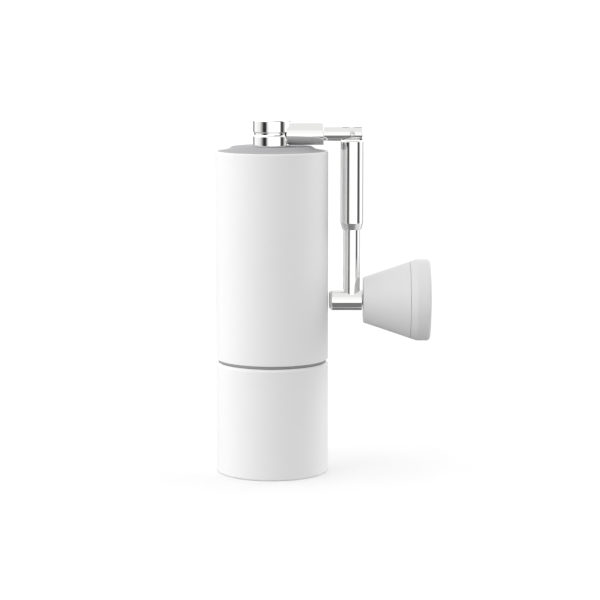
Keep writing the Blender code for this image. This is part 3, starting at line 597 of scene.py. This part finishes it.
# ---- Inner burr ---------------------------------------------------------------------
# A hardened cone with twelve leaning teeth that crush the beans and, lower down, three
# times as many fine ones. It slides on the shaft's hexagon.
INNER_LOW = 38.7
INNER_HIGH = 53.7
inner_loops = toothed((13.85, 7.35), INNER_LOW, INNER_HIGH, (12, -1.3), (36, -0.4), 0.9, 288)
inner_loops.append(loop_at(INNER_HIGH, 5.4, 288))
inner_loops.append(loop_at(INNER_HIGH - 0.4, 4.9, 288))
inner_loops.append(loop_at(INNER_HIGH - 0.4, six_sided(3.0), 288))
inner_loops.append(loop_at(INNER_LOW, six_sided(3.0), 288))
inner_burr = piece_from("cone_burr", skinned(inner_loops, True), burr_steel)
joined_to(inner_burr, "burr", "burr_steel", "inner_burr")

# ---- Adjusting dial -----------------------------------------------------------------
# A grey moulded dial with a scalloped grip. Sprung balls in its top click into the holes
# of a steel plate under the burr, twelve to a turn.
dial_grey = moulded("dial_grey", (0.24, 0.24, 0.25), (0.30, 0.30, 0.31), 0.38)
DIAL_LOW = 29.2
DIAL_HIGH = 36.4


def scalloped(crest, depth=0.9, count=16):
    """Radius of a rim with rounded hollows between narrow ridges."""
    return lambda angle: crest - depth * (0.5 - 0.5 * math.cos(count * angle)) ** 0.6


dial_levels = [(3.4, DIAL_LOW + 0.6), (4.2, DIAL_LOW), (8.6, DIAL_LOW), (scalloped(9.9), DIAL_LOW + 0.15),
               (scalloped(10.3), DIAL_LOW + 0.4), (scalloped(10.5), DIAL_LOW + 0.9),
               (scalloped(10.5), DIAL_HIGH - 1.6), (scalloped(10.3), DIAL_HIGH - 1.1),
               (9.5, DIAL_HIGH - 0.4), (9.2, DIAL_HIGH), (3.4, DIAL_HIGH)]
dial = piece_from("grip_dial", skinned([loop_at(z, r, 256) for r, z in dial_levels], True), dial_grey)
carved(dial, pegs(2, 6.4, 1.1, 30.6, DIAL_HIGH + 1), pegs(1, 6.9, 0.55, DIAL_LOW - 1, DIAL_LOW + 0.3))
joined_to(dial, "dial", "dial_plastic", "adjusting_dial")


def made_of(material, *nodes):
    """Give a material to pieces that keep the shape they have in the frame."""
    for node in nodes:
        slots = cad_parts[node].data.materials
        slots.clear()
        slots.append(material)


made_of(plain_steel, "detent_plate")
made_of(screw_steel, "click_ball_1", "click_ball_2")
made_of(spring_steel, "click_spring_1", "click_spring_2", "burr_spring")

# ---- Outer shell ------------------------------------------------------------------
# The barrel's skin: one straight aluminium tube, powder coated white like the cup, with
# a narrow rolled rim that the lid drops into.
SHELL_LOW = 47.4
SHELL_TOP = 133.75
MOUTH_R = 22.2
shell_outline = eased([(21.6, SHELL_LOW, 0.1), (BODY_R, SHELL_LOW, 0.3), (BODY_R, SHELL_TOP, 0.5),
                       (MOUTH_R, SHELL_TOP, 0.25), (MOUTH_R, SHELL_TOP - 3.9, 0.1),
                       (21.6, SHELL_TOP - 4.1, 0.1)])
shell = piece_from("barrel_skin", lathe(shell_outline), white_coat)
joined_to(shell, "barrel", "white_coat", "outer_shell")

# ---- Lid --------------------------------------------------------------------------
# A light grey moulded lid. A sloping ring rises to a low plateau round the crank's hub,
# and a skirt with its own seal ring plugs the hopper.
lid_grey = moulded("lid_grey", (0.37, 0.37, 0.38), (0.43, 0.43, 0.44), 0.56)
LID_R = 22.08
PLATEAU = SHELL_TOP + 1.7
SKIRT_END = SHELL_TOP - 7.9
lid_outline = eased([(5.2, PLATEAU - 2.2, 0.1), (15.8, PLATEAU - 2.2, 0.5), (17.0, PLATEAU - 3.2, 0.4),
                     (17.0, SKIRT_END, 0.25), (19.2, SKIRT_END, 0.25), (19.2, SKIRT_END + 1.55, 0.1),
                     (18.4, SKIRT_END + 1.55, 0.1), (18.4, SKIRT_END + 3.25, 0.1),
                     (19.2, SKIRT_END + 3.25, 0.1), (19.2, SHELL_TOP - 3.5, 0.1),
                     (LID_R, SHELL_TOP - 3.5, 0.1), (LID_R, SHELL_TOP - 0.3, 0.3),
                     (17.9, PLATEAU - 0.95, 0.4), (16.6, PLATEAU, 0.5), (5.2, PLATEAU, 0.15)])
lid = piece_from("lid_moulding", lathe(lid_outline), lid_grey)
joined_to(lid, "lid", "lid_plastic", "lid")

# ---- Lid seal -----------------------------------------------------------------------
# A ribbed silicone ring is snapped into the groove of the lid's skirt. It grips the upper
# liner, so the lid stays on but pulls off by hand.
lid_silicone = silicone("lid_silicone", (0.34, 0.34, 0.35), (0.42, 0.42, 0.43))
rib_outline = eased([(18.45, SKIRT_END + 1.75, 0.1), (19.2, SKIRT_END + 1.75, 0.15),
                     (19.55, SKIRT_END + 2.1, 0.15), (19.25, SKIRT_END + 2.4, 0.1),
                     (19.55, SKIRT_END + 2.7, 0.15), (19.2, SKIRT_END + 3.05, 0.15),
                     (18.45, SKIRT_END + 3.05, 0.1)], 3)
lid_ring = piece_from("skirt_ring", lathe(rib_outline), lid_silicone)
joined_to(lid_ring, "lid", "silicone", "lid_seal")

# ---- Crank hub and arm tube -------------------------------------------------------
# A turned steel hub, polished and chromed, with a shallow groove round its waist. The
# arm tube is mitred onto its side and brazed, so the joint shows as a clean curve.
def polished_chrome(name, tint=0.93):
    """Mirror chrome with faint wiping marks."""
    metal = Finish(name, Metallic=1.0)
    where = metal.place()
    wipe = metal.noise(where, 140.0, 4.0)
    hair = metal.noise(metal.place((400, 400, 9000)), 1.0, 2.0)
    shine = (tint, tint, tint * 0.992)
    metal.set(Base_Color=metal.blend(wipe, [c * 0.96 for c in shine], shine))
    metal.set(Roughness=0.018 + wipe * 0.02 + hair * 0.01)
    metal.bump(hair, 0.02, 0.00001)
    return metal.material


chrome = polished_chrome("polished_chrome")
HUB_R = 7.65
HUB_LOW = PLATEAU + 0.05
HUB_TOP = 146.4
ARM_Z = 140.7
ARM_R = 4.62
ARM_END = 21.3


def along_x(height):
    """Turn a shape made about the Z axis onto +X, at a height in millimetres."""
    return Matrix.Translation((0, 0, height * MM)) @ Matrix.Rotation(math.pi / 2, 4, "Y")


SOCKET_R = 3.15
SOCKET_END = 142.2
SPIGOT_END = PLATEAU - 4.4
GROOVE_Z = ARM_Z - 0.05
hub_outline = eased([(0, SOCKET_END, 0), (SOCKET_R, SOCKET_END, 0.1), (SOCKET_R, SPIGOT_END, 0.2),
                     (5.0, SPIGOT_END, 0.3), (5.0, HUB_LOW, 0), (HUB_R, HUB_LOW, 0.2),
                     (HUB_R, GROOVE_Z - 0.95, 0.15), (HUB_R - 0.42, GROOVE_Z - 0.5, 0.2),
                     (HUB_R - 0.42, GROOVE_Z + 0.5, 0.2), (HUB_R, GROOVE_Z + 0.95, 0.15),
                     (HUB_R, HUB_TOP, 0.45), (0, HUB_TOP, 0)])
hub = piece_from("hub_chromed", lathe(hub_outline), chrome)
joined_to(hub, "crank", "chrome", "crank_hub")
arm_outline = eased([(3.0, 5.0, 0), (ARM_R, 5.0, 0), (ARM_R, ARM_END, 0.25), (3.0, ARM_END, 0.05)])
arm = piece_from("arm_tube_chromed", lathe(arm_outline, 96, along_x(ARM_Z)), chrome)
carved(arm, lathe([(0, ARM_Z - 9), (HUB_R - 0.02, ARM_Z - 9), (HUB_R - 0.02, ARM_Z + 9), (0, ARM_Z + 9)]))
joined_to(arm, "crank", "chrome", "arm_tube")

# ---- Fork and elbow pin -----------------------------------------------------------
# A thinner chromed rod pressed into the arm tube. Its end is slotted upright into a fork
# that takes the lower arm's tongue, held by a cross pin with its ends ground flush.
FORK_R = 2.9
FORK_END = 37.4
FORK_SLOT = 1.35
PIVOT_X = 33.0
TONGUE_R = 2.5
PIN_R = 1.0
across_pivot = Matrix.Translation((PIVOT_X * MM, 0, ARM_Z * MM)) @ Matrix.Rotation(math.pi / 2, 4, "X")
fork_outline = eased([(0, 14.0, 0), (FORK_R, 14.0, 0.1), (FORK_R, FORK_END, 0.45), (0, FORK_END, 0)])
fork = piece_from("fork_rod", lathe(fork_outline, 96, along_x(ARM_Z)), chrome)
slot_end = PIVOT_X - TONGUE_R - 1.5
pin_bore = lathe([(0, -5), (PIN_R + 0.02, -5), (PIN_R + 0.02, 5), (0, 5)], 32, across_pivot)
carved(fork, bar((slot_end, -FORK_SLOT, ARM_Z - 5), (FORK_END + 3, FORK_SLOT, ARM_Z + 5)), pin_bore)
joined_to(fork, "crank", "chrome", "arm_fork")
pin_steel = brushed_steel("pin_steel", 0.7)
pin_outline = eased([(0, -2.62, 0), (PIN_R, -2.62, 0.15), (PIN_R, 2.62, 0.15), (0, 2.62, 0)], 3)
pin = piece_from("cross_pin", lathe(pin_outline, 32, across_pivot), pin_steel)
joined_to(pin, "crank", "steel", "elbow_pin")

# ---- Lower arm --------------------------------------------------------------------
# A chromed rod. Its top is milled flat into a tongue with a rounded eye for the pin, and
# its foot is brazed into the cross tube that carries the knob.
ARM_ROD_R = 3.43
SHOULDER = 5.3
TONGUE_HALF = 1.05
SPINDLE_R = 4.3
KNOB_Z = 71.8
down_arm = Matrix.Translation((PIVOT_X * MM, 0, ARM_Z * MM)) @ Matrix.Rotation(math.pi, 4, "X")
ROD_LENGTH = ARM_Z - KNOB_Z
rod_outline = eased([(0, SHOULDER, 0), (ARM_ROD_R, SHOULDER, 0.3), (ARM_ROD_R, ROD_LENGTH, 0),
                     (0, ROD_LENGTH, 0)])
rod = piece_from("lower_rod", lathe(rod_outline, 96, down_arm), chrome)
carved(rod, lathe([(0, 20), (SPINDLE_R - 0.02, 20), (SPINDLE_R - 0.02, 45), (0, 45)], 96, along_x(KNOB_Z)))
joined_to(rod, "lower_arm", "chrome", "lower_arm")
tongue_shape = bmesh.new()
angles = [math.pi * i / 24 for i in range(25)]
eye = [(TONGUE_R * math.cos(a), TONGUE_R * math.sin(a)) for a in angles]
eye += [(-TONGUE_R, -SHOULDER - 0.5), (TONGUE_R, -SHOULDER - 0.5)]
rim = [tongue_shape.verts.new(((PIVOT_X + x) * MM, -TONGUE_HALF * MM, (ARM_Z + z) * MM)) for x, z in eye]
face = tongue_shape.faces.new(rim)
raised = bmesh.ops.extrude_face_region(tongue_shape, geom=[face])["geom"]
raised = [part for part in raised if isinstance(part, bmesh.types.BMVert)]
bmesh.ops.translate(tongue_shape, vec=(0, 2 * TONGUE_HALF * MM, 0), verts=raised)
tongue = piece_from("elbow_tongue", tongue_shape, chrome)
carved(tongue, lathe([(0, -5), (PIN_R + 0.05, -5), (PIN_R + 0.05, 5), (0, 5)], 32, across_pivot))
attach(tongue, "lower_arm")

# ---- Cross tube and knob axle -----------------------------------------------------
# A short chromed tube across the foot of the lower arm. Its free end is domed, and the
# knob turns on a steel shoulder bolt that screws into the other end.
SPINDLE_START = 23.65
SPINDLE_END = 37.3
BOLT_HOLE_R = 2.5
BOLT_HOLE_END = 27.0
spindle_outline = eased([(0, SPINDLE_START, 0), (3.2, SPINDLE_START, 0.5),
                         (SPINDLE_R, SPINDLE_START + 1.1, 0.8), (SPINDLE_R, SPINDLE_END, 0.2),
                         (BOLT_HOLE_R, SPINDLE_END, 0.1), (BOLT_HOLE_R, BOLT_HOLE_END, 0),
                         (0, BOLT_HOLE_END, 0)])
spindle = piece_from("cross_tube", lathe(spindle_outline, 96, along_x(KNOB_Z)), chrome)
joined_to(spindle, "lower_arm", "chrome", "knob_spindle")
bolt_steel = brushed_steel("bolt_steel", 0.6)
made_of(bolt_steel, "knob_axle", "knob_washer", "knob_screw")

# ---- Lock sleeve ------------------------------------------------------------------
# A chromed sleeve that slides on the lower arm and, with the crank straight, over the
# elbow to stiffen it. Its lower end is coned and left with a satin turned finish.
SLEEVE_R = 4.65
SLEEVE_TOP = 3.05
CONE_START = 36.7
CONE_END = 39.5
SLEEVE_BORE = 3.55
sleeve_outline = eased([(SLEEVE_R - 0.12, SLEEVE_TOP, 0.05), (SLEEVE_R, SLEEVE_TOP + 0.15, 0.1),
                        (SLEEVE_R, CONE_START, 0.3), (3.85, CONE_END, 0.12), (SLEEVE_BORE, CONE_END, 0.05),
                        (SLEEVE_BORE, SLEEVE_TOP + 1.1, 0.1), (SLEEVE_R - 0.2, SLEEVE_TOP, 0)])
sleeve_shape = lathe(sleeve_outline, 96, down_arm)
satin_chrome = brushed_steel("satin_chrome", 0.78, 0.2)
for face in sleeve_shape.faces:
    drop = ARM_Z - face.calc_center_median().z / MM
    face.material_index = 1 if drop > CONE_START + 0.15 else 0
sleeve = piece_from("lock_sleeve_chromed", sleeve_shape, chrome, satin_chrome)
joined_to(sleeve, "sleeve", "chrome", "lock_sleeve")

# ---- Sleeve ring --------------------------------------------------------------------
# A small silicone ring sits in a groove inside the sleeve. It rubs on the lower arm, so
# that the sleeve stays where it is pushed.
grip_outline = eased([(3.5, 34.1, 0.2), (4.3, 34.1, 0.2), (4.3, 35.3, 0.2), (3.5, 35.3, 0.2)], 4)
grip_ring = piece_from("grip_ring", lathe(grip_outline, 64, down_arm), lid_silicone)
joined_to(grip_ring, "sleeve", "silicone", "sleeve_ring")

# ---- Knob -------------------------------------------------------------------------
# A matte white moulded cone with a separate end cap. The cap snaps on just below the
# widest part, which leaves a hairline joint, and its face is very slightly domed.
KNOB_START = 37.8
KNOB_SMALL_R = 9.4
KNOB_SPLIT = 57.1
CONE_TOP = 59.9
KNOB_BIG_R = 16.9
KNOB_END = 65.8
SLOPE = (KNOB_BIG_R - KNOB_SMALL_R) / (CONE_TOP - KNOB_START)


def cone_r(x):
    """Radius of the knob's cone at a distance from the barrel's axis."""
    return KNOB_SMALL_R + SLOPE * (x - KNOB_START)


knob_white = moulded("knob_white", (0.71, 0.71, 0.71), (0.78, 0.78, 0.78), 0.55)
HAIRLINE = 0.045
body_end = KNOB_SPLIT - HAIRLINE
knob_outline = eased([(4.0, KNOB_START, 0.15), (KNOB_SMALL_R, KNOB_START, 0.35),
                      (cone_r(body_end), body_end, 0.12), (cone_r(body_end) - 2.2, body_end, 0.2),
                      (cone_r(43.0) - 2.2, 43.0, 0.8), (7.6, 41.4, 0.5), (6.2, 41.4, 0.3),
                      (6.2, 54.4, 0.2), (4.0, 54.4, 0.2)])
knob = piece_from("knob_cone", lathe(knob_outline, 128, along_x(KNOB_Z)), knob_white)
joined_to(knob, "knob", "white_plastic", "knob_body")
cap_start = KNOB_SPLIT + HAIRLINE
cap_outline = eased([(0, KNOB_END, 0), (11.0, KNOB_END - 0.05, 20.0), (16.3, 65.35, 0.9),
                     (KNOB_BIG_R, 64.5, 0.5), (KNOB_BIG_R, CONE_TOP, 0.5),
                     (cone_r(cap_start), cap_start, 0.12), (12.4, cap_start, 0.1), (12.4, 55.0, 0.3),
                     (11.2, 55.0, 0.2), (11.2, 58.0, 0.3), (13.0, 59.4, 0.5), (13.6, 62.6, 0.5),
                     (12.4, 63.8, 0.5), (0, 63.9, 0)])
cap = piece_from("knob_end_cap", lathe(cap_outline, 128, along_x(KNOB_Z)), knob_white)
joined_to(cap, "knob", "white_plastic", "knob_cap")

# ---- Knob bushes --------------------------------------------------------------------
# Two plain plastic bushes are pressed into the ends of the knob's bore. They run on the
# shoulder bolt, so that the knob turns freely in the hand.
bush_plastic = moulded("bush_plastic", (0.62, 0.60, 0.54), (0.72, 0.70, 0.63), 0.4)
BUSH_LENGTH = 4.9
for which, start in (("inner", 37.9), ("outer", 49.4)):
    end = start + BUSH_LENGTH
    bush_outline = eased([(2.3, start, 0.15), (4.0, start, 0.1), (4.0, end, 0.1), (2.3, end, 0.15)], 3)
    bush = piece_from(which + "_bush", lathe(bush_outline, 64, along_x(KNOB_Z)), bush_plastic)
    joined_to(bush, "knob", "bush_plastic", "knob_bush_" + which)

# ---- Floor, light and camera --------------------------------------------------------
# A plain white floor. Soft light comes from the left and from the right, and the front
# right is dim, so that the tone falls evenly round the barrel. Dark cards low in front
# give the chrome its dark edges. The floor neither lights the grinder nor shows in it.
FLOOR_R = 40.0
floor_finish = Finish("floor_white", Metallic=0.0, Specular_IOR_Level=0.1)
floor_tone = floor_finish.noise(floor_finish.place(), 40.0)
floor_finish.set(Base_Color=floor_finish.blend(floor_tone, (0.90, 0.90, 0.90), (0.93, 0.93, 0.93)))
floor_finish.set(Roughness=0.9 + floor_tone * 0.1)
floor = piece_from("studio_floor", lathe([(0, 0), (FLOOR_R / MM, 0), (FLOOR_R / MM, -20), (0, -20)], 64),
                   floor_finish.material)
floor.visible_diffuse = False
floor.visible_glossy = False

# Brightness by compass direction, as (degrees, level). 0 is in front, 90 is on the right.
# WALLS are above the horizon, CARDS just below it and BELOW further down.
WALLS = [(-180, 1.3), (-150, 1.25), (-120, 1.7), (-105, 2.4), (-90, 3.0), (-60, 3.1), (-45, 2.8), (-30, 1.9),
         (-15, 1.1), (12, 1.0), (24, 0.14), (60, 0.14), (72, 0.6), (84, 2.1), (100, 3.0), (120, 2.8),
         (150, 1.8), (180, 1.3)]
CARDS = [(-180, 0.25), (-142, 0.25), (-126, 1.1), (-78, 0.9), (-66, 0.5), (-52, 0.03), (-36, 0.03),
         (-24, 0.9), (-10, 1.3), (48, 1.3), (56, 0.6), (62, 0.04), (72, 0.04), (84, 0.5), (100, 1.3),
         (130, 1.2), (140, 0.3), (180, 0.25)]
CEILING = 0.88
BELOW = [(-180, 0.2), (-150, 0.2), (-120, 0.4), (-75, 0.35), (-40, 0.2), (35, 0.2), (60, 1.1), (80, 1.6),
         (115, 1.6), (140, 0.6), (160, 0.2), (180, 0.2)]
WALL_TOP = 36
BRIGHTEST = 3.2
world = bpy.data.worlds.new("studio")
bpy.context.scene.world = world
world.use_nodes = True
sky = Wire(world.node_tree)
direction = sky.node("ShaderNodeTexCoord", out="Generated")
axes = [sky.node("ShaderNodeSeparateXYZ", sockets={0: direction}, out=axis) for axis in range(3)]
across, along, upward = axes
compass = sky.maths("ARCTAN2", across, 0.0 - along) / TAU + 0.5


def all_round(levels):
    """A brightness that changes smoothly with the compass direction."""
    stops = [((degrees + 180) / 360, [level / BRIGHTEST] * 3) for degrees, level in levels]
    return sky.node("ShaderNodeValToRGB", {"stops": stops}, {0: compass})


def above(angle, blur, low, high):
    """Change from one brightness to another round an angle above the horizon."""
    edges = {0: upward, 1: math.sin(math.radians(angle - blur)), 2: math.sin(math.radians(angle + blur))}
    height = sky.node("ShaderNodeMapRange", {"interpolation_type": "SMOOTHSTEP"}, edges)
    return sky.node("ShaderNodeMix", {"data_type": "RGBA"}, {"Factor": height, 6: low, 7: high}, out=2)


sides = above(-1.1, 0.6, all_round(CARDS), all_round(WALLS))
sides = above(-25, 3, all_round(BELOW), sides)
studio = world.node_tree.nodes["Background"]
sky.feed(studio.inputs["Color"], above(WALL_TOP, 12, sides, (*[CEILING / BRIGHTEST] * 3, 1.0)))
studio.inputs["Strength"].default_value = BRIGHTEST
bpy.context.scene.view_settings.view_transform = "Standard"

CAMERA_BACK = 0.8605
CAMERA_HEIGHT = 0.1911
CAMERA_SIDE = 0.0116
AIM_HEIGHT = 0.0717
FOCAL_LENGTH = 125.46
lens = bpy.data.cameras.new("camera")
lens.sensor_width = 36.0
lens.lens = FOCAL_LENGTH
camera = bpy.data.objects.new("camera", lens)
camera.location = (CAMERA_SIDE, -CAMERA_BACK, CAMERA_HEIGHT)
pitch = math.atan2(CAMERA_HEIGHT - AIM_HEIGHT, CAMERA_BACK)
camera.rotation_euler = (math.pi / 2 - pitch, 0, 0)
bpy.context.scene.collection.objects.link(camera)
bpy.context.scene.camera = camera
